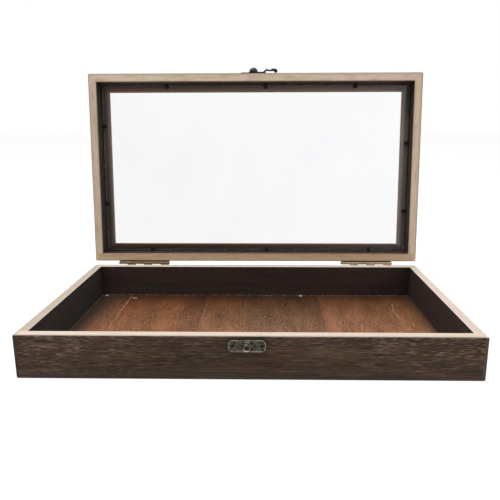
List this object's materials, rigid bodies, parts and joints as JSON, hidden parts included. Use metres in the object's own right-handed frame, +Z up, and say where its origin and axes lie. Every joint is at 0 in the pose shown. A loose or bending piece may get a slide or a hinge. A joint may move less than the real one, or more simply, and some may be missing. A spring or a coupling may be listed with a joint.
{
  "type": "hinged display box",
  "caption": "Flat wooden display box with a glazed lid on stop hinges and a swing hook latch, shown open.",
  "frame": {"origin": "centre of the underside of the tray", "axes": "+X to the right along the front, +Y away from the front towards the hinges, +Z up"},
  "size_m": [0.352, 0.249, 0.2444],
  "materials": {
    "stained_wood": "dark stained open grain, raw sawn rims",
    "stained_plywood": "red brown stained plywood",
    "window_glass": "clear float glass",
    "black_steel": "black enamelled sheet steel",
    "bronzed_hinge": "antique bronze plated steel",
    "bronzed_fixings": "antique bronze plated steel",
    "bronzed_latch": "antique bronze plated pressed steel, ridges rubbed bright"
  },
  "bodies": {
    "tray": {"tray_front_board": "stained_wood", "tray_rear_board": "stained_wood", "tray_left_board": "stained_wood", "tray_right_board": "stained_wood", "tray_floor": "stained_plywood", "hinge_left_tray_leaf": "bronzed_hinge", "hinge_right_tray_leaf": "bronzed_hinge", "hinge_left_pin": "bronzed_hinge", "hinge_right_pin": "bronzed_hinge", "hinge_tray_screws": "bronzed_fixings", "catch_plate": "bronzed_latch", "catch_post": "bronzed_latch", "catch_nails": "bronzed_fixings"},
    "lid": {"lid_front_board": "stained_wood", "lid_rear_board": "stained_wood", "lid_left_board": "stained_wood", "lid_right_board": "stained_wood", "window_frame_front": "stained_wood", "window_frame_rear": "stained_wood", "window_frame_left": "stained_wood", "window_frame_right": "stained_wood", "window_pane": "window_glass", "glazing_points": "black_steel", "hinge_left_lid_leaf": "bronzed_hinge", "hinge_right_lid_leaf": "bronzed_hinge", "hinge_lid_screws": "bronzed_fixings", "latch_plate": "bronzed_latch", "latch_rivet": "bronzed_latch", "latch_nails": "bronzed_fixings"},
    "hook": {"latch_hook": "bronzed_latch"}
  },
  "joints": [
    {"name": "lid_hinge", "type": "hinge", "parent": "tray", "child": "lid", "pos_m": [0, 0.1023, 0.0364], "axis": [1, 0, 0], "range_deg": [0, 95]},
    {"name": "hook_pivot", "type": "hinge", "parent": "lid", "child": "hook", "pos_m": [-0.0013, 0.1291, 0.23713], "axis": [0, -0.0872, -0.9962], "range_deg": [-248, 90]}
  ]
}
